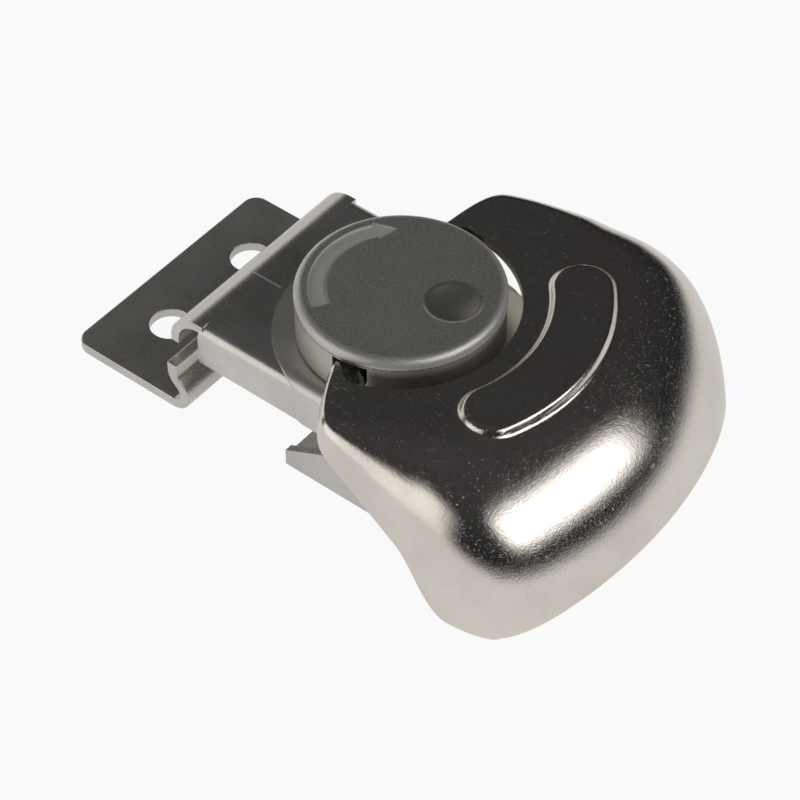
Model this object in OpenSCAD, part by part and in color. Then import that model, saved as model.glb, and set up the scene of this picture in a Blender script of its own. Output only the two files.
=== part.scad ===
// Spring loaded draw latch: a fold-down handle turns an eccentric that draws a
// sprung hook plate over the lip of a keeper. All sizes are in millimetres.
// Origin: knob axis on the mounting plane. +X towards the handle, +Z up.

/* [Knob] */
// Outer radius of the knob at its rim
knob_r = 13; // [11:0.1:15]
// Height of the knob's top over the mounting plane
knob_top = 21.4; // [20.8:0.1:24]
// Height of the knob's underside
knob_bottom = 14.4; // [14.3:0.1:15]
// Depth of the rounded rim
rim_round = 1.1; // [0.5:0.1:1.5]
// Step from the rim in to the wall below it
rim_step = 0.15; // [0.05:0.05:0.4]
// Height of the rim band over the step
rim_band = 1.5; // [1.2:0.1:2.5]
// Radius at which the dimple lies
dimple_at = 6.8; // [5:0.1:8]
// Radius of the dished dimple
dimple_r = 3.5; // [2:0.1:4]
// Depth of the dished dimple
dimple_depth = 0.8; // [0.3:0.1:1.5]
// Inner radius of the arrow
arrow_in = 8.9; // [8:0.1:9.5]
// Width of the arrow's shaft
arrow_w = 2.4; // [1.5:0.1:2.6]
// Depth of the recessed arrow
arrow_depth = 0.35; // [0.2:0.05:0.6]

/* [Handle] */
// Turn of knob and handle past the dead centre, in degrees
lock_angle = 10; // [0:1:15]
// Height of the handle's flat top
handle_top = 19.6; // [19.2:0.1:20]
// Sheet thickness of the handle
handle_t = 1.2; // [0.8:0.1:1.5]
// Radius of the rear edge about the knob axis
handle_reach = 39; // [36:0.1:44]
// Half width of the handle beside the knob
handle_half_w = 23.6; // [22:0.1:26]
// Outward lean of the sides in plan, per millimetre of length
handle_splay = 0.28; // [0.2:0.01:0.32]
// Front edge of the horns beside the knob, measured ahead of the hinge
horn_front = 2.3; // [2.1:0.1:2.6]
// Sweep of the horns' front edge, per millimetre of width
horn_sweep = 0.28; // [0.2:0.01:0.32]
// Radius of the notch about the knob
notch_r = 15; // [14.6:0.1:16]
// Offset of the notch towards the handle's near side
notch_offset = 0.6; // [0:0.1:0.8]
// Width of the soft roll at the rear, seen from above
roll_rear = 17.9; // [12:0.1:18.5]
// Width of the bend along the sides, seen from above
roll_side = 2.2; // [1.8:0.1:4]
// Height of the rear corners over the mounting plane
skirt_low = 0.5; // [0.3:0.1:1.5]
// Height of the finger arch in the rear edge
finger_arch = 6.5; // [4:0.1:9]
// Depth of the skirt beside the hinge
skirt_front = 2.6; // [2:0.1:3.5]
// Fall of the skirt's edge behind the hinge, per millimetre of length
skirt_slope = 0.61; // [0.5:0.01:0.7]
// Start of the skirt's dip to the rear corners, behind the hinge
dip_from = 14.3; // [12:0.1:16]
// End of the skirt's dip to the rear corners, behind the hinge
dip_to = 21.5; // [19:0.1:24]
// Centre radius of the raised bead
bead_r = 22; // [21:0.1:24]
// Half width of the raised bead
bead_half_w = 4.1; // [3:0.1:4.4]
// Height of the raised bead
bead_h = 0.55; // [0.4:0.05:0.9]
// Half angle of the bead's centre line, in degrees
bead_half_angle = 32; // [20:1:36]

/* [Hinge] */
// Height of the handle's hinge axis
hinge_z = 17; // [16.9:0.05:17.2]
// Radius of the hinge pin
hinge_pin_r = 1.2; // [1:0.05:1.4]
// Radius of the trunnions on the horns
trunnion_r = 2; // [1.8:0.05:2.05]
// Inner end of the trunnions, from the knob axis
trunnion_in = 9.7; // [9:0.1:10.5]
// Outer end of the ears that carry the trunnions, from the knob axis
trunnion_out = 15.2; // [15:0.1:15.5]

/* [Cam] */
// Throw of the eccentric
cam_throw = 3; // [2.5:0.1:3]
// Radius of the eccentric
cam_r = 7; // [6.5:0.1:7]
// Side of the square key between cam and knob
key_side = 8; // [7.5:0.1:8.5]
// Height of the square key
key_h = 1.2; // [0.8:0.1:1.4]
// Radius of the pivot stud
stud_r = 3; // [2.5:0.1:3.2]
// Radius of the staked end of the stud
stake_r = 4.6; // [4:0.1:5]
// Height of the staked end
stake_h = 0.7; // [0.5:0.1:0.8]

/* [Washers] */
// Thickness of the thrust washer
thrust_t = 0.85; // [0.6:0.05:1.2]
// Radius of the thrust washer
thrust_r = 7.2; // [6:0.1:7.6]
// Thickness of the stake washer
stake_washer_t = 0.6; // [0.4:0.05:0.7]
// Radius of the stake washer
stake_washer_r = 5.6; // [5:0.1:6]
// Sheet thickness of the conical spring washer
cone_t = 0.3; // [0.2:0.02:0.4]
// Radius of the conical spring washer
cone_r = 6.2; // [5.5:0.1:6.6]

/* [Link] */
// Half width of the link over its flanges
link_half_w = 15.2; // [15:0.1:15.5]
// Height of the link's top
link_top = 13.7; // [13.5:0.05:13.75]
// Sheet thickness of the link
link_t = 1.2; // [1:0.05:1.4]
// Height of the flanges' lower edge
link_low = 7.85; // [7.7:0.05:8.2]
// Outer radius of the bends along the link
link_bend = 2; // [1.6:0.1:2.5]
// Rear end of the link
link_rear = 17; // [16.8:0.1:18]
// Front end of the flanges, ahead of the knob axis
flange_front = 19.7; // [19:0.1:20]
// Outer face of the hook, ahead of the knob axis
hook_front = 24.5; // [24.4:0.1:25]
// Outer radius of the hook's bend
hook_bend = 4.5; // [4:0.1:4.6]
// Height of the hook's tip
hook_tip = 8.5; // [8.4:0.1:9]
// Radius of the round land about the knob
land_r = 15.7; // [14.5:0.1:16]
// Height of the round land over the link
land_h = 0.4; // [0.2:0.05:0.4]

/* [Lift spring] */
// Sheet thickness of the leaf spring
leaf_t = 0.5; // [0.4:0.05:0.6]
// Inner side of the spring's arms, from the middle
leaf_in = 10.9; // [10.7:0.1:11.2]
// Width of the spring's arms
leaf_w = 2.3; // [2:0.1:2.5]
// Front end of the strap under the link
strap_front = 13; // [12.8:0.1:13.4]
// Place of the spring's toes along the base
toe_at = 4; // [3:0.1:5]
// Radius of the spring's rivets
rivet_r = 1; // [0.8:0.05:1.2]
// Distance of each rivet from the middle
rivet_y = 6; // [4:0.1:8]

/* [Base plate] */
// Sheet thickness of the base plate
base_t = 1.5; // [1.2:0.05:1.6]
// Half width over the side walls
base_half_w = 16.1; // [15.9:0.1:16.5]
// Thickness of the side walls
base_wall = 1.1; // [0.8:0.05:1.2]
// Front edge of the base plate, ahead of the knob axis
base_front = 5.2; // [4.8:0.1:6]
// Rear edge of the base plate
base_rear = 28; // [26:0.1:29]
// Rear end of the side walls
wall_rear = 14.5; // [14:0.1:15]
// Height of the side walls at the front
wall_front_h = 2.4; // [2:0.1:3]
// Height of the side walls at the end of the ramp
wall_ramp_h = 5.4; // [5:0.1:5.8]
// Place of the end of the ramp
wall_ramp_x = 0.6; // [0:0.1:1]
// Height of the shoulder that the link rocks on
wall_h = 7.5; // [7:0.05:7.6]
// Radius of the raised pivot boss
boss_r = 7.6; // [7.4:0.1:8]
// Height of the raised pivot boss
boss_h = 3.6; // [3.4:0.05:3.8]
// Radius of the round front lobe about the pivot
lobe_r = 10.2; // [10:0.1:10.5]
// Radius of the fixing holes in the base plate
base_hole_r = 2.6; // [2:0.05:2.75]
// Place of the fixing holes along the base plate
base_hole_x = 21.5; // [20:0.1:23]
// Distance between the fixing holes in the base plate
base_hole_span = 18; // [15:0.1:20]

/* [Keeper] */
// Half width of the keeper
keeper_half_w = 17.5; // [17:0.1:19]
// Sheet thickness of the keeper
keeper_t = 1.5; // [1.2:0.05:1.6]
// Outer end of the keeper, ahead of the knob axis
keeper_end = 39; // [38:0.1:44]
// Radius of the keeper's corners
keeper_corner = 2; // [1:0.1:4]
// Radius of the keeper's fixing holes
keeper_hole_r = 2.65; // [2:0.05:2.75]
// Place of the fixing holes, ahead of the knob axis
keeper_hole_x = 31.4; // [30:0.1:33]
// Distance between the keeper's fixing holes
keeper_hole_span = 15.7; // [12:0.1:22]
// Middle radius of the bends in the lip
lip_bend = 2; // [1.8:0.05:2.1]
// Back face of the lip's tip, ahead of the knob axis
lip_back = 23; // [22.7:0.1:23]
// Length of the leaning stretch of the lip
lip_lean = 0.9; // [0.6:0.1:1.2]
// Height of the lip's tip
lip_top = 7.6; // [7.2:0.05:7.7]

/* [Hidden] */
$fn = 64;

// Clearances: pieces fixed to each other, pieces stacked on each other, running fits,
// and stamped pieces that pass
snug = 0.02;
seat_gap = 0.05;
running = 0.06;
free_gap = 0.3;
// A hair of overlap between joined shapes, how far a cut passes a face, and a length past everything
eps = 0.01;
past = 1;
far = 200;

steel = [0.74, 0.72, 0.69];
zinc = [0.56, 0.55, 0.52];
spring_steel = [0.45, 0.45, 0.46];
plain_steel = [0.62, 0.62, 0.62];

// Heights of the stack on the pivot, from below
stake_low = 0.3;
stake_taper = 0.4;
stake_washer_low = stake_low + stake_h;
cone_low = stake_washer_low + stake_washer_t;
boss_under = boss_h - base_t + 2 * seat_gap;
thrust_low = boss_h + seat_gap;
cam_low = thrust_low + thrust_t;
cam_top = knob_bottom - seat_gap;
pin_cover = 0.7;
stud_top = hinge_z + hinge_pin_r + pin_cover;

// Knob: side slots take the trunnions
wall_r = knob_r - rim_step;
ear_half_w = 0.6 * trunnion_r;
ear_rise = 0.95 * trunnion_r;
ear_drop = 0.7 * trunnion_r;
ear_start = knob_r - 0.4;
slot_half_w = trunnion_r + 0.35;
slot_top = hinge_z + trunnion_r + 0.5;
slot_in = trunnion_in - free_gap;
pin_half = knob_r - 0.6;
pin_end_gap = 0.4;
dimple_ball = (dimple_r * dimple_r + dimple_depth * dimple_depth) / (2 * dimple_depth);
mark_angle = 5.7;
arrow_tip = 114;
arrow_neck = 131;
arrow_tail = 222.8;
arrow_barb = 0.5;

// Link slot: the cam's sideways travel, and its lead over an even draw, fit in it
cam_x = cam_throw * cos(lock_angle);
cam_lag = 0.25 * cam_throw;
cam_lead = 0.53 * cam_throw;
slot_front = cam_x - cam_r - cam_lag;
slot_rear = cam_x + cam_r + cam_lead;
slot_half_y = cam_r + cam_throw + free_gap;
link_under = link_top - link_t;
hook_inset = 0.4;
hook_lap = 0.5;

// Leaf spring: its heights, the curl of its toes, and the heads of its rivets
leaf_top = link_under - seat_gap;
leaf_low = base_t + 2 * seat_gap;
leaf_rear = link_rear - 0.5;
leaf_slant = 1.3 * leaf_t;
toe_rise = 0.7;
toe_run = 1.6;
head_r = 1.6 * rivet_r;
head_h = 0.6;
sink_h = 0.5;

// Base plate: corners, and the two ends of the shoulder
base_corner = 1.5;
shoulder_len = 2;
wall_toe = 3;

// Lip: leaning 45 degrees back between two bends
lip_x = -lip_back + keeper_t / 2 - lip_bend * (2 * sin(45) - 1) + lip_lean * sin(45);
lip_z = lip_bend + keeper_t / 2;

// A pie slice of a plane between two angles, wide enough for any bend here
module slice(from, to, reach = far) {
    steps = 6;
    polygon(concat([[0, 0]], [for (i = [0 : steps])
        let (a = from + (to - from) * i / steps) reach * [cos(a), sin(a)]]));
}

// A bent strip: an arc of sheet about a centre, between two angles
module bend(middle_r, t, from, to) {
    intersection() {
        difference() {
            circle(r = middle_r + t / 2);
            circle(r = middle_r - t / 2);
        }
        slice(from, to, 3 * middle_r);
    }
}

// A rectangle from one corner to the other with round corners
module round_rect(low, high, r) {
    translate(low + [r, 0]) square([high.x - low.x - 2 * r, high.y - low.y]);
    translate(low + [0, r]) square([high.x - low.x, high.y - low.y - 2 * r]);
    for (x = [low.x + r, high.x - r], y = [low.y + r, high.y - r])
        translate([x, y]) circle(r = r);
}

// Stands a profile drawn in X and Z up, and runs it along Y to both sides
module along_y(half) {
    rotate([90, 0, 0]) linear_extrude(2 * half, center = true) children();
}

// Stands a profile drawn in Y and Z up, and runs it along X
module along_x(from, to) {
    translate([from, 0, 0]) rotate([90, 0, 90]) linear_extrude(to - from) children();
}

// Turns what belongs to the knob and handle to the locked position
module locked() {
    rotate([0, 0, lock_angle]) children();
}

module ring(low, high, r, bore) {
    translate([0, 0, low]) difference() {
        cylinder(h = high - low, r = r);
        translate([0, 0, -past]) cylinder(h = high - low + 2 * past, r = bore);
    }
}

// Base plate

module wall_profile() {
    polygon([
        [-base_front, 0], [-base_front, wall_front_h], [wall_ramp_x, wall_ramp_h],
        [wall_rear - shoulder_len, wall_h], [wall_rear, wall_h], [wall_rear + wall_toe, 0]
    ]);
}

module base_plate() color(steel) difference() {
    union() {
        linear_extrude(base_t) {
            round_rect([-base_front, -base_half_w], [base_rear, base_half_w], base_corner);
            circle(r = lobe_r);
        }
        for (side = [-1, 1])
            translate([0, side * (base_half_w - base_wall / 2), 0])
                along_y(base_wall / 2) wall_profile();
        cylinder(h = boss_h, r1 = lobe_r, r2 = boss_r);
    }
    translate([0, 0, -past]) cylinder(h = boss_under + past, r = cone_r + free_gap);
    translate([0, 0, -past]) cylinder(h = boss_h + 2 * past, r = stud_r + running);
    for (side = [-1, 1])
        translate([base_hole_x, side * base_hole_span / 2, -past])
            cylinder(h = base_t + 2 * past, r = base_hole_r);
}

// Pieces on the pivot

module pivot_stud() color(plain_steel) difference() {
    union() {
        translate([0, 0, stake_low]) cylinder(h = stud_top - stake_low, r = stud_r);
        translate([0, 0, stake_low]) cylinder(h = stake_h, r1 = stake_r - stake_taper, r2 = stake_r);
    }
    locked() cross_bore(hinge_pin_r + snug);
}

module cross_bore(r) {
    translate([0, 0, hinge_z]) rotate([90, 0, 0]) cylinder(h = 4 * knob_r, r = r, center = true);
}

module stake_washer() color(plain_steel)
    ring(stake_washer_low, cone_low, stake_washer_r, stud_r + snug);

module spring_washer() color(spring_steel) {
    bore = stud_r + 0.2;
    high = boss_under - seat_gap;
    rotate_extrude() polygon([
        [bore, cone_low], [bore + cone_t, cone_low],
        [cone_r, high - cone_t], [cone_r, high], [cone_r - cone_t, high]
    ]);
}

module thrust_washer() color(plain_steel)
    ring(thrust_low, cam_low, thrust_r, stud_r + snug);

module eccentric_cam() color(plain_steel) difference() {
    locked() {
        translate([cam_throw, 0, cam_low]) cylinder(h = cam_top - cam_low, r = cam_r);
        translate([-key_side / 2, -key_side / 2, cam_low + past])
            cube([key_side, key_side, cam_top - cam_low - past + key_h]);
    }
    translate([0, 0, -past]) cylinder(h = far, r = stud_r + snug);
}

// Knob

module arrow_outline() {
    rotate(mark_angle) {
        intersection() {
            difference() {
                circle(r = arrow_in + arrow_w);
                circle(r = arrow_in);
            }
            slice(arrow_neck - 1, arrow_tail, 2 * knob_r);
        }
        polygon([
            (arrow_in + arrow_w / 2) * [cos(arrow_tip), sin(arrow_tip)],
            (arrow_in + arrow_w + arrow_barb) * [cos(arrow_neck), sin(arrow_neck)],
            (arrow_in - arrow_barb) * [cos(arrow_neck), sin(arrow_neck)]
        ]);
    }
}

module knob_drum() {
    rotate_extrude() polygon(concat(
        [[0, knob_bottom], [wall_r, knob_bottom], [wall_r, knob_top - rim_band], [knob_r, knob_top - rim_band]],
        [for (a = [0 : 15 : 90]) [
            knob_r - rim_round + rim_round * cos(a),
            knob_top - rim_round + rim_round * sin(a)]],
        [[0, knob_top]]));
}

module knob() color(zinc) difference() {
    knob_drum();
    locked() {
        for (side = [0, 1]) mirror([0, side, 0])
            translate([-slot_half_w, slot_in, knob_bottom - past])
                cube([2 * slot_half_w, knob_r, slot_top - knob_bottom + past]);
        translate([-key_side / 2 - snug, -key_side / 2 - snug, knob_bottom - past])
            cube([key_side + 2 * snug, key_side + 2 * snug, cam_top + key_h + 2 * seat_gap - knob_bottom + past]);
        cross_bore(hinge_pin_r + snug);
        rotate(mark_angle) translate([dimple_at, 0, knob_top - dimple_depth + dimple_ball])
            sphere(r = dimple_ball);
        translate([0, 0, knob_top - arrow_depth]) linear_extrude(past) arrow_outline();
    }
    translate([0, 0, knob_bottom - past])
        cylinder(h = stud_top + 4 * seat_gap - knob_bottom + past, r = stud_r + snug);
}

module hinge_pin() color(plain_steel)
    locked() translate([0, 0, hinge_z]) rotate([90, 0, 0])
        cylinder(h = 2 * pin_half, r = hinge_pin_r, center = true);

// Handle: one shell lofted about the knob axis. At each angle it runs from the
// notch over the flat top, round the roll and down the skirt to the lower edge.

edge_angle = 96;
angle_steps = 40;
roll_steps = 7;
skirt_steps = 2;
outline_power = 8;
flare_rear = -6;
flare_side = 10.7;
corner_from = 36;
corner_to = 68.5;
horn_from = 84;
arch_power = 0.7;
least_edge = 0.6;
least_drop = 0.15;
least_roll = handle_t + free_gap / 2;
roll_room = 0.9;

// Smooth step from 0 to 1 between two values
function ease(x, from, to) = let (k = max(0, min(1, (x - from) / (to - from)))) k * k * (3 - 2 * k);
function side_share(a) = ease(abs(a), corner_from, corner_to);

// Plan outline: soft minimum of the rear arc, the side line and the horn's front line
function plan_r(a) = let (
    s = sin(abs(a)), c = cos(a),
    side = s - handle_splay * c, front = horn_sweep * s - c,
    front_d = horn_front + horn_sweep * (knob_r + free_gap),
    total = pow(1 / handle_reach, outline_power)
        + (side > 0 ? pow(side / handle_half_w, outline_power) : 0)
        + (front > 0 ? pow(front / front_d, outline_power) : 0)
) pow(total, -1 / outline_power);

function flare(a) = flare_rear + (flare_side - flare_rear) * side_share(a);
function inner_r(a) = let (open = notch_r - notch_offset * sin(a))
    open - (open - knob_r - free_gap) * ease(abs(a), horn_from, edge_angle);

// Lower edge: an arch for the fingers at the rear, low corners, and a rise along each side
function low_z(a) = let (
    behind = plan_r(a) * cos(a),
    arch = skirt_low + (finger_arch - skirt_low) * pow(max(0, cos(2 * a)), arch_power),
    line = handle_top - skirt_front - skirt_slope * behind,
    side = skirt_low + (line - skirt_low) * (1 - ease(behind, dip_from, dip_to))
) min(handle_top - least_edge, max(arch, side));

// Section of the outer face at one angle, as radius and height
function section(a) = let (
    f = flare(a),
    low = low_z(a),
    shoulder = plan_r(a) - tan(f) * (handle_top - low),
    run = min(roll_rear + (roll_side - roll_rear) * side_share(a), roll_room * (shoulder - inner_r(a))),
    turn = 90 - f,
    roll = max(least_roll, run / sin(turn)),
    centre = [shoulder - roll * sin(turn), handle_top - roll],
    roll_end = centre + roll * [sin(turn), cos(turn)],
    stop = low > roll_end[1] ? acos(max(-1, min(1, (low - centre[1]) / roll))) : turn,
    last = centre + roll * [sin(stop), cos(stop)],
    drop = max(least_drop, last[1] - low)
) concat(
    [[inner_r(a), handle_top], [(inner_r(a) + centre[0]) / 2, handle_top]],
    [for (i = [0 : roll_steps]) centre + roll * [sin(stop * i / roll_steps), cos(stop * i / roll_steps)]],
    [for (i = [1 : skirt_steps]) last + drop * i / skirt_steps * [tan(f), -1]]);

// Inner face: the section moved in by the sheet's thickness, square to itself
function inset(p, i) = let (
    n = len(p),
    d = p[min(n - 1, i + 1)] - p[max(0, i - 1)],
    l = max(eps / 10, norm(d))
) p[i] - handle_t * [-d[1], d[0]] / l;
function around(q, a) = [q[0] * cos(a), q[0] * sin(a), q[1]];

module shell_skin() {
    sections = [for (i = [0 : angle_steps]) section(edge_angle * (2 * i / angle_steps - 1))];
    n = len(sections[0]);
    loop = 2 * n;
    points = [for (i = [0 : angle_steps]) let (a = edge_angle * (2 * i / angle_steps - 1), p = sections[i])
        for (j = [0 : loop - 1]) around(j < n ? p[j] : inset(p, loop - 1 - j), a)];
    quads = [for (i = [0 : angle_steps - 1], j = [0 : loop - 1])
        let (k = (j + 1) % loop)
        [i * loop + j, i * loop + k, (i + 1) * loop + k, (i + 1) * loop + j]];
    strips = [for (end = [0, angle_steps], j = [0 : n - 2])
        let (q = [j, j + 1, loop - 2 - j, loop - 1 - j])
        [for (k = [0 : 3]) end * loop + (end == 0 ? q[3 - k] : q[k])]];
    triangles = [for (q = concat(quads, strips), half = [0, 2]) [q[(half + 2) % 4], q[half + 1], q[half]]];
    polyhedron(points = points, faces = triangles, convexity = 8);
}

// Raised bead, sunk half way into the sheet, with round ends a hair narrower than its run
module bead() {
    sunk = handle_t / 2;
    cap = bead_half_w - snug;
    translate([0, 0, handle_top - sunk]) {
        rotate(-bead_half_angle) rotate_extrude(angle = 2 * bead_half_angle)
            translate([bead_r, 0]) bead_section(bead_half_w, sunk);
        for (side = [-1, 1])
            rotate(side * bead_half_angle) translate([bead_r, 0, 0]) rotate_extrude()
                intersection() {
                    bead_section(cap, sunk);
                    square(far);
                }
    }
}

module bead_section(half, sunk) {
    polygon([
        [-half, 0], [half, 0], [half, sunk], [half - bead_h, sunk + bead_h],
        [-half + bead_h, sunk + bead_h], [-half, sunk]
    ]);
}

// Ears under the horns, each with a trunnion that reaches into the knob's side slot
module ears() {
    for (side = [0, 1]) mirror([0, side, 0]) difference() {
        union() {
            translate([0, trunnion_in, hinge_z]) rotate([-90, 0, 0])
                cylinder(h = knob_r - trunnion_in, r = trunnion_r);
            translate([-ear_half_w, ear_start, hinge_z - ear_drop])
                cube([2 * ear_half_w, trunnion_out - ear_start, ear_drop + ear_rise]);
        }
        translate([0, trunnion_in - past, hinge_z]) rotate([-90, 0, 0])
            cylinder(h = pin_half + pin_end_gap - trunnion_in + past, r = hinge_pin_r + running);
    }
}

module handle_shell() color(steel) locked() {
    shell_skin();
    bead();
    ears();
}

// Leaf spring under the link

module leaf_profile() {
    toe_low = leaf_low + toe_rise;
    polygon([
        [leaf_rear, leaf_top], [strap_front, leaf_top], [toe_at, leaf_low + leaf_slant],
        [toe_at - toe_run, toe_low + leaf_slant], [toe_at - toe_run, toe_low], [toe_at, leaf_low],
        [strap_front + free_gap, leaf_top - leaf_t], [leaf_rear, leaf_top - leaf_t]
    ]);
}

module lift_spring() color(spring_steel) difference() {
    along_y(leaf_in + leaf_w) leaf_profile();
    translate([-far + strap_front, -leaf_in, -past]) cube([far, 2 * leaf_in, far]);
    at_rivets() translate([0, 0, leaf_top - leaf_t - past])
        cylinder(h = leaf_t + 2 * past, r = rivet_r + running);
}

module at_rivets() {
    for (side = [-1, 1])
        translate([(strap_front + link_rear) / 2 + free_gap, side * rivet_y, 0]) children();
}

// A rivet's shank with its countersunk upper head, flush with the link, grown by a clearance
module sunk_rivet(grow) {
    translate([0, 0, leaf_top - leaf_t - head_h]) cylinder(h = link_top - leaf_top + leaf_t + head_h, r = rivet_r + grow);
    translate([0, 0, link_top - sink_h]) cylinder(h = sink_h, r1 = rivet_r + grow, r2 = head_r + grow);
}

module spring_rivets() color(plain_steel) at_rivets() {
    sunk_rivet(0);
    translate([0, 0, leaf_top - leaf_t - head_h - seat_gap])
        cylinder(h = head_h, r1 = rivet_r + seat_gap, r2 = head_r);
}

// Link with its hook

module channel_section(half, top) {
    inner = link_half_w - link_t;
    room = link_under - link_low + past;
    r = link_bend - link_t;
    difference() {
        union() {
            translate([-half + link_bend, link_low]) square([2 * (half - link_bend), top - link_low]);
            translate([-half, link_low]) square([2 * half, top - link_bend - link_low]);
            for (side = [-1, 1])
                translate([side * (half - link_bend), top - link_bend]) circle(r = link_bend);
        }
        translate([0, link_low - past]) {
            translate([-inner + r, 0]) square([2 * (inner - r), room]);
            translate([-inner, 0]) square([2 * inner, room - r]);
            for (side = [-1, 1])
                translate([side * (inner - r), room - r]) circle(r = r);
        }
    }
}

module hook_profile() {
    centre = [-hook_front + hook_bend, link_top - hook_bend];
    translate([centre.x - eps, link_under]) square([hook_lap - flange_front - centre.x, link_t]);
    translate(centre) bend(hook_bend - link_t / 2, link_t, 90, 180);
    translate([-hook_front, hook_tip]) square([link_t, centre.y - hook_tip + eps]);
}

module draw_link() color(steel) difference() {
    union() {
        along_x(-flange_front, link_rear) channel_section(link_half_w, link_top);
        along_y(link_half_w - hook_inset) hook_profile();
        intersection() {
            along_x(-flange_front, link_rear) channel_section(link_half_w + land_h / 2, link_top + land_h);
            translate([0, 0, link_low]) cylinder(h = far, r = land_r);
        }
    }
    translate([0, 0, link_low]) linear_extrude(far)
        round_rect([slot_front, -slot_half_y], [slot_rear, slot_half_y], cam_r);
    at_rivets() {
        sunk_rivet(snug);
        translate([0, 0, link_top]) cylinder(h = past, r = head_r + snug);
    }
}

// Keeper

module lip_profile() {
    middle = lip_bend * [cos(45), sin(45)];
    lean_end = [lip_x, lip_z] + middle + lip_lean * [-sin(45), cos(45)];
    upper = lean_end + middle;
    translate([-keeper_end, 0]) square([keeper_end + lip_x, keeper_t]);
    translate([lip_x, lip_z]) bend(lip_bend, keeper_t, -90.5, 45.5);
    translate([lip_x, lip_z] + middle) rotate(135) translate([0, -keeper_t / 2]) square([lip_lean, keeper_t]);
    translate(upper) bend(lip_bend, keeper_t, 179.5, 225.5);
    translate([-lip_back, upper.y - eps]) square([keeper_t, lip_top - upper.y]);
}

module keeper_plate() color(steel) difference() {
    intersection() {
        along_y(keeper_half_w) lip_profile();
        translate([0, 0, -past]) linear_extrude(far)
            round_rect([-keeper_end, -keeper_half_w], [keeper_end, keeper_half_w], keeper_corner);
    }
    for (side = [-1, 1])
        translate([-keeper_hole_x, side * keeper_hole_span / 2, -past])
            cylinder(h = keeper_t + 2 * past, r = keeper_hole_r);
}

base_plate();
pivot_stud();
stake_washer();
spring_washer();
thrust_washer();
eccentric_cam();
knob();
hinge_pin();
handle_shell();
lift_spring();
spring_rivets();
draw_link();
keeper_plate();
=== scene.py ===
import math

import bmesh
import bpy
from mathutils import Matrix, Vector


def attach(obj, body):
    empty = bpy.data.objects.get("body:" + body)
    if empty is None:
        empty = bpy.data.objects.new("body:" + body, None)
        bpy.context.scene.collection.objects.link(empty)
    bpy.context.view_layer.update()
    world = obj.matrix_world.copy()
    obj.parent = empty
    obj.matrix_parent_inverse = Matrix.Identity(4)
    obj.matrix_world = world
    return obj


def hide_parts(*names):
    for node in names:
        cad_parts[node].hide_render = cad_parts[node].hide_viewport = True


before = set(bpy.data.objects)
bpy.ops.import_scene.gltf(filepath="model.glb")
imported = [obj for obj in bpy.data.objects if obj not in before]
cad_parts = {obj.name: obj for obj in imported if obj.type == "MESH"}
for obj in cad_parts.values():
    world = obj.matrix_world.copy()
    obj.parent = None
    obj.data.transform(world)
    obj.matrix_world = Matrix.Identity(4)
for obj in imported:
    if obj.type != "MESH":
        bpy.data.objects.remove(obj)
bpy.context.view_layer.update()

MM = 0.001
MICRON = 0.000001
MM_PER_METRE = 1000

# Sizes of the handle that the solids share, in millimetres and degrees
KNOB_R = 13
LOCK_ANGLE = 10
HANDLE_TOP = 19.6
HANDLE_T = 1.2
HANDLE_REACH = 39
HANDLE_HALF_W = 23.6
HANDLE_SPLAY = 0.28
HORN_FRONT = 2.3
HORN_SWEEP = 0.28
HORN_FROM = 84
NOTCH_R = 15
NOTCH_OFFSET = 0.6
ROLL_REAR = 17.9
ROLL_SIDE = 2.2
ROLL_ROOM = 0.9
SKIRT_LOW = 0.5
FINGER_ARCH = 6.5
ARCH_POWER = 0.7
SKIRT_FRONT = 2.6
SKIRT_SLOPE = 0.61
DIP_FROM = 14.3
DIP_TO = 21.5
LEAST_EDGE = 0.6
LEAST_DROP = 0.15
BEAD_R = 22
BEAD_HALF_W = 4.1
BEAD_HALF_ANGLE = 32
EDGE_ANGLE = 96
OUTLINE_POWER = 8
FLARE_REAR = -6
FLARE_SIDE = 10.7
FREE_GAP = 0.3
HINGE_Z = 17
PIN_BORE_R = 1.26
TRUNNION_R = 2
TRUNNION_IN = 9.7
EAR_OUT = 15.2
EAR_START = 12.6
EAR_HALF_W = 1.2
EAR_RISE = 1.9
EAR_DROP = 1.4

# Where the handle stands a little apart from the solids: a prouder bead with an eased flank, and a longer
# turn into both sides, which begins earlier on the far one
BEAD_H = 0.75
BEAD_FLANK_IN = 0.85
BEAD_FLANK_OUT = 0.25
NEAR_CORNER = (36, 86)
FAR_CORNER = (12, 78)

# The handle's grid, and the shares of its way down at which the flat top and the roll end
GRID_ROUND = 240
GRID_DOWN = 172
FLAT_SHARE = 0.34
ROLL_SHARE = 0.92

# Broken edges: widths in millimetres, and angles in degrees above which an edge counts as sharp
SHEET_EDGE = 0.28
SHEET_SHARP = 55
EAR_EDGE = 0.12
EAR_SHARP = 40
COPY_SHARP = 32
COPY_SHADED_SHARP = 35

# Copied meshes: points closer than this many millimetres are joined, and faces within this many degrees
WELD = 0.002
COPY_FLAT = 0.6

# The trunnions' facets, and how far short of the knob's wall they end, in millimetres
SLEEVE_FACETS = 32
SLEEVE_CLEAR = 0.2

# Places on the knob and the link that their finishes follow, in millimetres and degrees
KNOB_TOP = 21.4
RIM_BAND = 1.5
FACE_EDGE = (11.6, 11.9)
RIM_EDGE = (11.8, 12.2)
WALL_EDGE = (12.7, 12.85)
ARROW_FLOOR = 0.28
ARROW_BRINK = 0.12
DIMPLE_AT = 6.8
DIMPLE_R = 3.5
LIP_LIT = (0.63, -0.78)
MARK_ANGLE = 5.7
GAP_SHADE_DEPTH = 1.6
LINK_TOP = 13.7
LAND_R = 15.7
LAND_FADE = 2
SCRATCH_X = (-21, -16.4)
SCRATCH_Y = (-3.45, -3.31)

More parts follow.
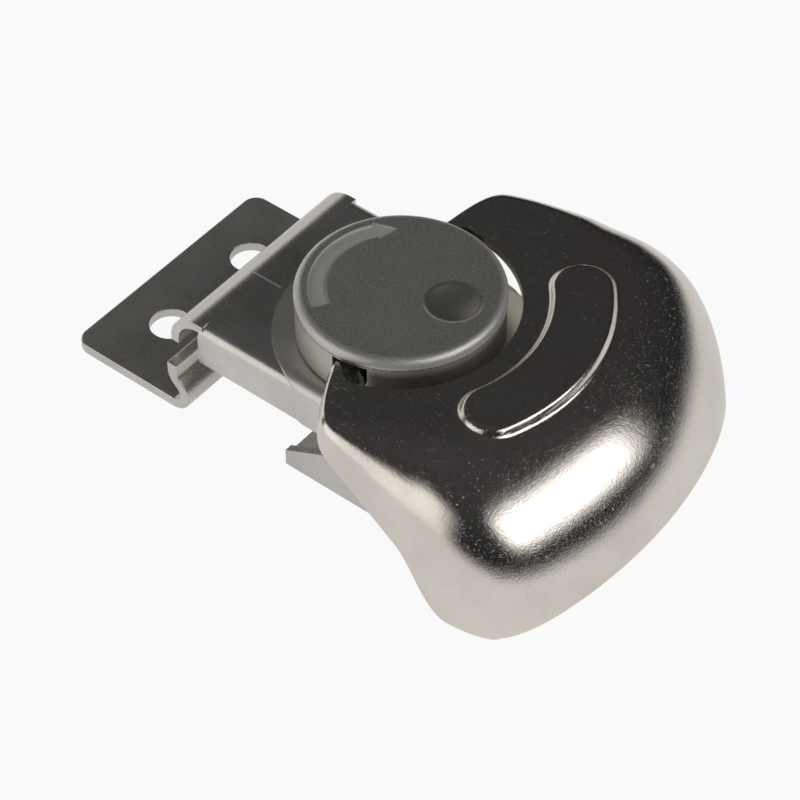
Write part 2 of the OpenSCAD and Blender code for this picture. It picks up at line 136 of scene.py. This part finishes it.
# The stage, in metres and degrees
FLOOR_R = 0.30
FLOOR_FACETS = 96
FLOOR_DROP = 0.00002
FLOOR_SEEN = 0.93
FLOOR_MIRRORED = 0.61
LAMP_DISTANCE = 0.60
WHITE = (1, 1, 1)
WARM_WHITE = (1.0, 0.985, 0.96)
CAMERA_AZIMUTH = 38.73
CAMERA_ELEVATION = 46.47
CAMERA_DISTANCE = 0.3967


class Signal:
    """A shader socket that Python's operators reckon with, adding Math nodes."""

    def __init__(self, finish, socket):
        self.finish = finish
        self.socket = socket

    def other(self, output):
        """Another output of the same node."""
        return Signal(self.finish, self.socket.node.outputs[output])

    def reckon(self, operation, *values):
        """One Math node."""
        return self.finish.add("ShaderNodeMath", {"operation": operation}, dict(enumerate(values)))

    def __add__(self, other):
        return self.reckon("ADD", self, other)

    def __radd__(self, other):
        return self.reckon("ADD", other, self)

    def __sub__(self, other):
        return self.reckon("SUBTRACT", self, other)

    def __rsub__(self, other):
        return self.reckon("SUBTRACT", other, self)

    def __mul__(self, other):
        return self.reckon("MULTIPLY", self, other)

    def root(self):
        return self.reckon("SQRT", self)

    def step(self, low, high):
        """0 below low, 1 above high, smooth between."""
        return self.finish.add("ShaderNodeMapRange", {"interpolation_type": "SMOOTHSTEP"},
                               {"Value": self, "From Min": low, "From Max": high}, out="Result")

    def within(self, low, high, soft):
        """1 between low and high, 0 outside, softened at both ends."""
        return self.step(low - soft, low) * (1 - self.step(high, high + soft))


class Finish:
    """A node tree under construction, for a material or the world."""

    def __init__(self, tree):
        self.tree = tree
        tree.nodes.clear()

    def add(self, kind, settings=None, inputs=None, out=0):
        """Adds any node: its settings first, then its sockets' values or links. Returns one output."""
        node = self.tree.nodes.new(kind)
        for name, value in (settings or {}).items():
            if name == "stops":
                stops = node.color_ramp.elements
                while len(stops) < len(value):
                    stops.new(0.5)
                for stop, (at, colour) in zip(stops, value):
                    stop.position = at
                    stop.color = (*colour, 1)
            else:
                setattr(node, name, value)
        for name, value in (inputs or {}).items():
            if isinstance(value, Signal):
                self.tree.links.new(value.socket, node.inputs[name])
            else:
                node.inputs[name].default_value = value
        if not node.outputs:
            return None
        return Signal(self, node.outputs[out])

    def place(self, turn=(0, 0, 0), scale=(MM_PER_METRE,) * 3):
        """The piece's own coordinates in millimetres, turned and stretched as asked."""
        own = self.add("ShaderNodeTexCoord", out="Object")
        return self.add("ShaderNodeMapping", inputs={
            "Vector": own, "Rotation": [math.radians(a) for a in turn], "Scale": scale})

    def split(self, where):
        """A position's three coordinates."""
        x = self.add("ShaderNodeSeparateXYZ", inputs={0: where})
        return x, x.other("Y"), x.other("Z")

    def noise(self, where, scale, detail=4, rough=0.55):
        """Cloudy noise about 0.5, finer as scale rises."""
        return self.add("ShaderNodeTexNoise", inputs={
            "Vector": where, "Scale": scale, "Detail": detail, "Roughness": rough})

    def blend(self, share, a, b):
        """Colour a where share is 0, colour b where it is 1."""
        a, b = [c if isinstance(c, Signal) else (*c, 1) for c in (a, b)]
        return self.add("ShaderNodeMix", {"data_type": "RGBA"}, {0: share, 6: a, 7: b}, out=2)

    def scratches(self, turn, length, breadth, low, high):
        """Thin hairlines that run one way: noise drawn out along them."""
        across = MM_PER_METRE / breadth
        drawn = self.place(turn=turn, scale=(MM_PER_METRE / length, across, across))
        return self.noise(drawn, 1.0, detail=2).step(low, high)

    def bump(self, height, microns, strength, below=None):
        """A normal tilted by a height map, which may lie over another bump."""
        inputs = {"Height": height, "Distance": microns * MICRON, "Strength": strength}
        if below is not None:
            inputs["Normal"] = below
        return self.add("ShaderNodeBump", inputs=inputs)

    def metal(self, colour, roughness, normal, metallic=1.0):
        """Closes the tree with a metal surface."""
        shader = self.add("ShaderNodeBsdfPrincipled", inputs={
            "Base Color": colour, "Metallic": metallic, "Roughness": roughness, "Normal": normal})
        self.add("ShaderNodeOutputMaterial", inputs={"Surface": shader})


def new_finish(name):
    """A material and the empty node tree to fill."""
    material = bpy.data.materials.new(name)
    material.use_nodes = True
    return material, Finish(material.node_tree)


def polished_nickel():
    """The handle: tumbled bright plating over a drawn dome, with fine grain, pits and handling marks."""
    material, f = new_finish("polished_nickel")
    here = f.place()
    cloud = f.noise(here, 0.09, detail=3)
    peel = f.noise(here, 0.45, detail=2)
    grain = f.noise(here, 3.4, detail=4, rough=0.75)
    hair = f.scratches((0, 0, 35), 3.5, 0.12, 0.70, 0.76)
    cross = f.scratches((0, 0, -62), 2.5, 0.12, 0.71, 0.77)
    pits = f.noise(here, 3.0, detail=3, rough=0.8).step(0.64, 0.72)
    marks = hair * 0.6 + cross * 0.6 + pits
    colour = f.blend(cloud.step(0.3, 0.7), (0.72, 0.665, 0.605), (0.80, 0.75, 0.685))
    colour = f.blend(pits * 0.25, colour, (0.95, 0.93, 0.90))
    rough = 0.085 + cloud * 0.05 + grain.step(0.42, 0.72) * 0.10 + marks * 0.14
    dents = f.bump(peel, 40, 0.30)
    normal = f.bump(grain - marks * 0.6, 30, 0.7, dents)
    f.metal(colour, rough, normal)
    return material


def sheet_nickel():
    """Keeper and base: duller plating on rolled sheet, with grain along its length."""
    material, f = new_finish("sheet_nickel")
    colour, rough, normal = worn_sheet(f)
    f.metal(colour, rough, normal, 0.76)
    return material


def link_nickel():
    """The link: the keeper's finish, with a painted pale sheen on the round land, and one deep scratch
    ahead of it.
    """
    material, f = new_finish("link_nickel")
    colour, rough, normal = worn_sheet(f)
    x, y, z = f.split(f.place())
    reach = (x * x + y * y).root()
    # Painted sheen: the round land is coloured paler and less metallic, fading out lower down
    land_sheen = (1 - reach.step(LAND_R - 0.1, LAND_R + 0.1)) * z.step(LINK_TOP - LAND_FADE, LINK_TOP)
    on_top = z.step(LINK_TOP - 0.3, LINK_TOP - 0.2)
    scratch = x.within(*SCRATCH_X, 0.3) * y.within(*SCRATCH_Y, 0.05) * on_top
    colour = f.blend(land_sheen * 0.6, colour, (0.85, 0.83, 0.79))
    colour = f.blend(scratch, colour, (0.98, 0.98, 0.97))
    f.metal(colour, rough + land_sheen * 0.08 + scratch * 0.4, normal, 0.88 - land_sheen * 0.18 - scratch * 0.6)
    return material


def worn_sheet(f):
    """Colour, roughness and normal that the sheet pieces share."""
    here = f.place()
    cloud = f.noise(here, 0.14, detail=4)
    grain = f.scratches((0, 0, 90), 14, 0.16, 0.35, 0.75)
    nicks = f.scratches((0, 0, 28), 3, 0.14, 0.72, 0.78)
    specks = f.noise(here, 1.6, detail=4, rough=0.7).step(0.66, 0.72)
    colour = f.blend(cloud.step(0.3, 0.75), (0.66, 0.635, 0.595), (0.76, 0.735, 0.695))
    colour = f.blend(specks * 0.5, colour, (0.28, 0.275, 0.26))
    rough = 0.22 + cloud * 0.10 + grain * 0.05 + nicks * 0.2 + specks * 0.15
    dents = f.bump(f.noise(here, 0.35, detail=3), 40, 0.3)
    normal = f.bump(grain * 0.3 - nicks - specks * 0.5, 10, 0.5, dents)
    return colour, rough, normal


def cast_nickel():
    """The knob: satin plating over a grainy casting, pale in the arrow, with a painted highlight on the
    dimple's lit lip and painted shade on its wall in the notch.
    """
    material, f = new_finish("cast_nickel")
    here = f.place()
    x, y, z = f.split(here)
    reach = (x * x + y * y).root()
    band = KNOB_TOP - RIM_BAND
    lock = math.radians(LOCK_ANGLE)
    turn = math.radians(LOCK_ANGLE + MARK_ANGLE)
    dx = x - DIMPLE_AT * math.cos(turn)
    dy = y - DIMPLE_AT * math.sin(turn)
    from_dimple = (dx * dx + dy * dy).root()
    in_dimple = 1 - from_dimple.step(DIMPLE_R - 0.15, DIMPLE_R + 0.1)
    # Painted highlight on the dimple's lip, on its lit side only
    lit = (dx * LIP_LIT[0] + dy * LIP_LIT[1]).step(-0.5, 2)
    lip_highlight = from_dimple.within(DIMPLE_R - 0.05, DIMPLE_R + 0.12, 0.15) * lit
    sunk = (1 - z.step(KNOB_TOP - ARROW_FLOOR, KNOB_TOP - ARROW_BRINK)) * (1 - reach.step(*FACE_EDGE))
    arrow = sunk * (1 - in_dimple)
    rim = reach.step(*RIM_EDGE) * z.step(band, band + 0.1)
    wall = 1 - z.step(band - 0.1, band)
    # Painted shade on the knob's wall inside the handle's notch, darker lower down
    in_notch = (x * math.cos(lock) + y * math.sin(lock)).step(0.5, 3.5)
    deep = 1 - z.step(band - GAP_SHADE_DEPTH, band)
    gap_shade = wall * in_notch * (0.45 + deep * 0.45)
    cloud = f.noise(here, 0.16, detail=5, rough=0.6)
    grain = f.noise(here, 3.5, detail=5, rough=0.75)
    pits = f.noise(here, 1.1, detail=4, rough=0.75).step(0.64, 0.72)
    seam = z.within(band - 0.05, band + 0.12, 0.06) * reach.step(*WALL_EDGE)
    colour = f.blend(grain.step(0.32, 0.68), (0.28, 0.275, 0.25), (0.56, 0.55, 0.52))
    colour = f.blend(cloud.step(0.35, 0.7) * 0.35, colour, (0.50, 0.485, 0.45))
    colour = f.blend(pits * 0.5, colour, (0.14, 0.13, 0.115))
    colour = f.blend(arrow * 0.7, colour, (0.97, 0.96, 0.92))
    colour = f.blend(in_dimple * 0.7, colour, (0.27, 0.25, 0.215))
    colour = f.blend(lip_highlight * 0.8, colour, (0.93, 0.92, 0.90))
    colour = f.blend(rim * 0.6, colour, (0.86, 0.84, 0.80))
    colour = f.blend(wall * 0.7, colour, (0.72, 0.67, 0.60))
    colour = f.blend(gap_shade, colour, (0.035, 0.028, 0.022))
    colour = f.blend(seam * grain.step(0.42, 0.5), colour, (0.03, 0.027, 0.023))
    rough = 0.42 + cloud * 0.14 + pits * 0.1 - rim * 0.12 - in_dimple * 0.16 + arrow * 0.15
    coarse = f.bump(cloud, 80, 0.4)
    normal = f.bump(grain - pits * 0.6, 60, 0.8, coarse)
    f.metal(colour, rough, normal, 0.66 + wall * 0.26)
    return material


def turned_steel():
    """Stud, cam, washers, pin and rivets: plain steel with fine tool rings."""
    material, f = new_finish("turned_steel")
    here = f.place()
    rings = f.add("ShaderNodeTexWave", {"wave_type": "RINGS", "rings_direction": "Z"},
                  {"Vector": here, "Scale": 1.6, "Distortion": 0.6, "Detail": 2.0}, out="Fac")
    cloud = f.noise(here, 0.3, detail=4)
    colour = f.blend(cloud.step(0.3, 0.7), (0.50, 0.50, 0.49), (0.62, 0.62, 0.61))
    normal = f.bump(rings, 10, 0.4)
    f.metal(colour, 0.26 + cloud * 0.16 + rings * 0.05, normal)
    return material


def blued_spring():
    """Leaf spring and cone washer: oil-blackened strip, worn pale in patches."""
    material, f = new_finish("blued_spring")
    here = f.place()
    cloud = f.noise(here, 0.4, detail=5, rough=0.65)
    worn = cloud.step(0.52, 0.68)
    colour = f.blend(worn, (0.10, 0.105, 0.12), (0.34, 0.34, 0.35))
    grain = f.scratches((0, 0, 0), 8, 0.12, 0.4, 0.7)
    f.metal(colour, 0.30 + worn * 0.12 + grain * 0.08, f.bump(grain, 10, 0.4))
    return material


def dark_shaded_ears():
    """The handle's ears: dull plating painted dark as shade, in patches, where they work in the knob's
    slots.
    """
    material, f = new_finish("dark_shaded_ears")
    dark_patches = f.noise(f.place(), 0.6, detail=4, rough=0.6).step(0.40, 0.65)
    colour = f.blend(dark_patches, (0.085, 0.08, 0.07), (0.20, 0.19, 0.17))
    f.metal(colour, 0.50 + dark_patches * 0.10, f.bump(dark_patches, 10, 0.3))
    return material


def ease(x, low, high):
    """0 below low, 1 above high, smooth between."""
    k = max(0.0, min(1.0, (x - low) / (high - low)))
    return k * k * (3 - 2 * k)


def plan_radius(angle):
    """The handle's outline seen from above, at an angle about the knob."""
    s = math.sin(math.radians(abs(angle)))
    c = math.cos(math.radians(angle))
    side = max(0.0, s - HANDLE_SPLAY * c) / HANDLE_HALF_W
    front = max(0.0, HORN_SWEEP * s - c) / (HORN_FRONT + HORN_SWEEP * (KNOB_R + FREE_GAP))
    total = HANDLE_REACH ** -OUTLINE_POWER + side ** OUTLINE_POWER + front ** OUTLINE_POWER
    return total ** (-1 / OUTLINE_POWER)


def skirt_edge(angle):
    """Height of the handle's lower edge at an angle about the knob."""
    behind = plan_radius(angle) * math.cos(math.radians(angle))
    arch = max(0.0, math.cos(math.radians(2 * angle))) ** ARCH_POWER
    arch = SKIRT_LOW + (FINGER_ARCH - SKIRT_LOW) * arch
    line = HANDLE_TOP - SKIRT_FRONT - SKIRT_SLOPE * behind
    side = SKIRT_LOW + (line - SKIRT_LOW) * (1 - ease(behind, DIP_FROM, DIP_TO))
    return min(HANDLE_TOP - LEAST_EDGE, max(arch, side))


def bead_share(radius, angle):
    """1 on the flat of the pressed bead, 0 outside it, eased along its flank."""
    near = max(-BEAD_HALF_ANGLE, min(BEAD_HALF_ANGLE, angle))
    here = math.radians(angle)
    spine = math.radians(near)
    out = radius * math.cos(here) - BEAD_R * math.cos(spine)
    along = radius * math.sin(here) - BEAD_R * math.sin(spine)
    down = ease(math.hypot(out, along), BEAD_HALF_W - BEAD_FLANK_IN, BEAD_HALF_W + BEAD_FLANK_OUT)
    return 1 - ease(down, 0, 1)


def handle_point(angle, share):
    """A point of the handle's outer face: share runs from the notch to the lower edge."""
    corner = NEAR_CORNER if angle < 0 else FAR_CORNER
    sides = ease(abs(angle), *corner)
    flare = math.radians(FLARE_REAR + (FLARE_SIDE - FLARE_REAR) * sides)
    notch = NOTCH_R - NOTCH_OFFSET * math.sin(math.radians(angle))
    inner = notch - (notch - KNOB_R - FREE_GAP) * ease(abs(angle), HORN_FROM, EDGE_ANGLE)
    low = skirt_edge(angle)
    shoulder = plan_radius(angle) - math.tan(flare) * (HANDLE_TOP - low)
    turn = math.pi / 2 - flare
    run = min(ROLL_REAR + (ROLL_SIDE - ROLL_REAR) * sides, ROLL_ROOM * (shoulder - inner))
    roll = max(HANDLE_T + FREE_GAP / 2, run / math.sin(turn))
    centre_r = shoulder - roll * math.sin(turn)
    centre_z = HANDLE_TOP - roll
    stop = turn
    if low > centre_z + roll * math.cos(turn):
        stop = math.acos(max(-1.0, min(1.0, (low - centre_z) / roll)))
    if share <= FLAT_SHARE:
        radius = inner + (centre_r - inner) * share / FLAT_SHARE
        height = HANDLE_TOP
    else:
        tilt = stop * min(1.0, (share - FLAT_SHARE) / (ROLL_SHARE - FLAT_SHARE))
        radius = centre_r + roll * math.sin(tilt)
        height = centre_z + roll * math.cos(tilt)
    if share > ROLL_SHARE:
        drop = max(LEAST_DROP, height - low) * (share - ROLL_SHARE) / (1 - ROLL_SHARE)
        radius += drop * math.tan(flare)
        height -= drop
    height += (HANDLE_TOP + BEAD_H - height) * bead_share(radius, angle)
    way = math.radians(angle + LOCK_ANGLE)
    return Vector((radius * math.cos(way), radius * math.sin(way), height)) * MM


def piece(name, bm, material, body, node):
    """Makes a bmesh a piece of the object that rides on a body and stands for a CAD node."""
    mesh = bpy.data.meshes.new(name)
    bm.to_mesh(mesh)
    bm.free()
    mesh.materials.append(material)
    obj = bpy.data.objects.new(name, mesh)
    bpy.context.scene.collection.objects.link(obj)
    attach(obj, body)
    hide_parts(node)
    return obj


def break_edges(bm, sharp_angle, width, steps):
    """Rounds every edge that turns by more than an angle."""
    least = math.radians(sharp_angle)
    sharp = [e for e in bm.edges if e.is_manifold and e.calc_face_angle() > least]
    bmesh.ops.bevel(bm, geom=sharp, offset=width * MM, offset_type="OFFSET", affect="EDGES", segments=steps,
                    profile=0.5, material=-1, clamp_overlap=True)


def domed_handle(material):
    """The handle's sheet: a grid laid over the dome, then given its thickness and soft edges."""
    bm = bmesh.new()
    bmesh.ops.create_grid(bm, x_segments=GRID_ROUND, y_segments=GRID_DOWN, size=1)
    for v in bm.verts:
        v.co = handle_point(v.co.x * EDGE_ANGLE, (v.co.y + 1) / 2)
    bmesh.ops.recalc_face_normals(bm, faces=bm.faces)
    bm.normal_update()
    top = max(bm.faces, key=lambda face: face.calc_center_median().z)
    if top.normal.z < 0:
        bmesh.ops.reverse_faces(bm, faces=bm.faces)
    for face in bm.faces:
        face.smooth = True
    shell = piece("domed_handle", bm, material, "handle", "handle_shell")
    wall = shell.modifiers.new("sheet", "SOLIDIFY")
    wall.thickness = HANDLE_T * MM
    wall.offset = -1
    wall.use_even_offset = False
    edge = shell.modifiers.new("rolled_edges", "BEVEL")
    edge.width = SHEET_EDGE * MM
    edge.segments = 3
    edge.limit_method = "ANGLE"
    edge.angle_limit = math.radians(SHEET_SHARP)
    edge.use_clamp_overlap = True


def handle_ears(material):
    """The two ears under the horns, each with the bored trunnion that the hinge pin goes into."""
    bm = bmesh.new()
    for side in (-1, 1):
        ear = bmesh.ops.create_cube(bm, size=1)["verts"]
        size = Vector((2 * EAR_HALF_W, EAR_OUT - EAR_START, EAR_RISE + EAR_DROP))
        middle = Vector((0, side * (EAR_OUT + EAR_START) / 2, HINGE_Z + (EAR_RISE - EAR_DROP) / 2))
        bmesh.ops.scale(bm, vec=size * MM, verts=ear)
        bmesh.ops.translate(bm, vec=middle * MM, verts=ear)
        sleeve = bmesh.ops.create_circle(bm, radius=PIN_BORE_R * MM, segments=SLEEVE_FACETS)["verts"]
        rim = list({e for v in sleeve for e in v.link_edges})
        outer = bmesh.ops.extrude_edge_only(bm, edges=rim)["geom"]
        ring = [g for g in outer if isinstance(g, bmesh.types.BMVert)]
        grow = TRUNNION_R / PIN_BORE_R
        bmesh.ops.scale(bm, vec=(grow, grow, 1), verts=ring)
        face = [g for g in outer if isinstance(g, bmesh.types.BMFace)]
        tube = bmesh.ops.extrude_face_region(bm, geom=face)["geom"]
        far = [g for g in tube if isinstance(g, bmesh.types.BMVert)]
        bmesh.ops.translate(bm, vec=(0, 0, (KNOB_R - SLEEVE_CLEAR - TRUNNION_IN) * MM), verts=far)
        stand = Matrix.Translation(Vector((0, side * TRUNNION_IN, HINGE_Z)) * MM)
        lay = Matrix.Rotation(math.radians(-90 * side), 4, "X")
        bmesh.ops.transform(bm, matrix=stand @ lay, verts=sleeve + ring + far)
    lock = Matrix.Rotation(math.radians(LOCK_ANGLE), 3, "Z")
    bmesh.ops.rotate(bm, cent=(0, 0, 0), matrix=lock, verts=bm.verts)
    bmesh.ops.recalc_face_normals(bm, faces=bm.faces)
    break_edges(bm, EAR_SHARP, EAR_EDGE, 2)
    piece("handle_ears", bm, material, "handle", "handle_shell")


def eased_copy(node, body, material, width, name):
    """A copy of a CAD node with its sharp edges broken, as tumbling or a press leaves them."""
    bm = bmesh.new()
    bm.from_mesh(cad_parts[node].data)
    bmesh.ops.remove_doubles(bm, verts=bm.verts, dist=WELD * MM)
    bmesh.ops.dissolve_limit(bm, angle_limit=math.radians(COPY_FLAT), verts=bm.verts, edges=bm.edges)
    break_edges(bm, COPY_SHARP, width, 3)
    for face in bm.faces:
        face.smooth = True
    obj = piece(name, bm, material, body, node)
    obj.data.set_sharp_from_angle(angle=math.radians(COPY_SHADED_SHARP))
    weighted = obj.modifiers.new("flat_faces_stay_flat", "WEIGHTED_NORMAL")
    weighted.keep_sharp = True


def pale_floor():
    """A white table under the latch; it shows white to the camera and keeps a faint shadow."""
    bm = bmesh.new()
    bmesh.ops.create_circle(bm, cap_ends=True, radius=FLOOR_R, segments=FLOOR_FACETS)
    mesh = bpy.data.meshes.new("floor")
    bm.to_mesh(mesh)
    bm.free()
    material, f = new_finish("pale_floor")
    camera = f.add("ShaderNodeLightPath", out="Is Camera Ray")
    matt = f.add("ShaderNodeBsdfDiffuse", inputs={"Color": (0.86, 0.86, 0.86, 1)})
    white = f.add("ShaderNodeEmission", inputs={"Color": (1, 1, 1, 1), "Strength": 1.0})
    share = camera * FLOOR_SEEN + camera.other("Is Glossy Ray") * FLOOR_MIRRORED
    mixed = f.add("ShaderNodeMixShader", inputs={0: share, 1: matt, 2: white})
    f.add("ShaderNodeOutputMaterial", inputs={"Surface": mixed})
    mesh.materials.append(material)
    floor = bpy.data.objects.new("floor", mesh)
    floor.location.z = -FLOOR_DROP
    bpy.context.scene.collection.objects.link(floor)


def studio_world():
    """A dark room with a pale band low round the table; white where the camera sees it."""
    world = bpy.data.worlds.new("studio")
    world.use_nodes = True
    bpy.context.scene.world = world
    f = Finish(world.node_tree)
    camera = f.add("ShaderNodeLightPath", out="Is Camera Ray")
    up = f.split(f.add("ShaderNodeTexCoord", out="Generated"))[2]
    room = f.add("ShaderNodeValToRGB", {"stops": [
        (0.00, (0.80, 0.79, 0.77)), (0.495, (0.80, 0.79, 0.77)), (0.53, (0.03, 0.031, 0.034)),
        (0.62, (0.016, 0.017, 0.02)), (0.80, (0.035, 0.035, 0.036)), (1.00, (0.05, 0.05, 0.052))]},
        {"Fac": up * 0.5 + 0.5})
    seen = f.blend(camera, room, WHITE)
    glow = f.add("ShaderNodeBackground", inputs={"Color": seen, "Strength": 1.0})
    f.add("ShaderNodeOutputWorld", inputs={"Surface": glow})


def softbox(name, way, width, height, power, colour):
    """An area lamp in a direction from the latch, turned to face it."""
    lamp = bpy.data.lights.new(name, "AREA")
    lamp.shape = "RECTANGLE"
    lamp.size = width
    lamp.size_y = height
    lamp.energy = power
    lamp.color = colour
    obj = bpy.data.objects.new(name, lamp)
    obj.location = Vector(way).normalized() * LAMP_DISTANCE
    obj.rotation_euler = (-obj.location).to_track_quat("-Z", "Y").to_euler()
    bpy.context.scene.collection.objects.link(obj)


def photo_camera():
    """The camera at the photograph's angle and distance."""
    azimuth = math.radians(CAMERA_AZIMUTH)
    elevation = math.radians(CAMERA_ELEVATION)
    level = math.cos(elevation)
    back = Vector((math.sin(azimuth) * level, -math.cos(azimuth) * level, math.sin(elevation)))
    lens = bpy.data.cameras.new("photo_camera")
    lens.sensor_width = 36
    lens.lens = 143.05
    lens.shift_x = -0.00115
    lens.shift_y = 0.0104
    lens.clip_start = 0.01
    camera = bpy.data.objects.new("photo_camera", lens)
    camera.location = back * CAMERA_DISTANCE
    camera.rotation_euler = back.to_track_quat("Z", "Y").to_euler()
    bpy.context.scene.collection.objects.link(camera)
    bpy.context.scene.camera = camera


nickel = polished_nickel()
sheet = sheet_nickel()
link_sheet = link_nickel()
cast = cast_nickel()
turned = turned_steel()
blued = blued_spring()

for node, material in (
    ("pivot_stud", turned), ("stake_washer", turned), ("thrust_washer", turned), ("eccentric_cam", turned),
    ("hinge_pin", turned), ("spring_rivets", turned), ("spring_washer", blued), ("lift_spring", blued),
):
    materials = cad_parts[node].data.materials
    materials.clear()
    materials.append(material)

domed_handle(nickel)
handle_ears(dark_shaded_ears())
eased_copy("knob", "knob", cast, 0.10, "cast_knob")
eased_copy("draw_link", "link", link_sheet, 0.14, "hook_link")
eased_copy("keeper_plate", "keeper", sheet, 0.20, "lipped_keeper")
eased_copy("base_plate", "base", sheet, 0.14, "bent_base")

pale_floor()
studio_world()
softbox("window", (0.74, 0.12, 0.61), 0.62, 0.27, 1.30, WHITE)
softbox("card", (-0.42, -0.80, 0.37), 0.60, 0.40, 0.80, WARM_WHITE)
softbox("left_card", (-0.92, 0.20, 0.29), 0.60, 0.26, 0.40, WARM_WHITE)
photo_camera()
bpy.context.scene.view_settings.view_transform = "Standard"
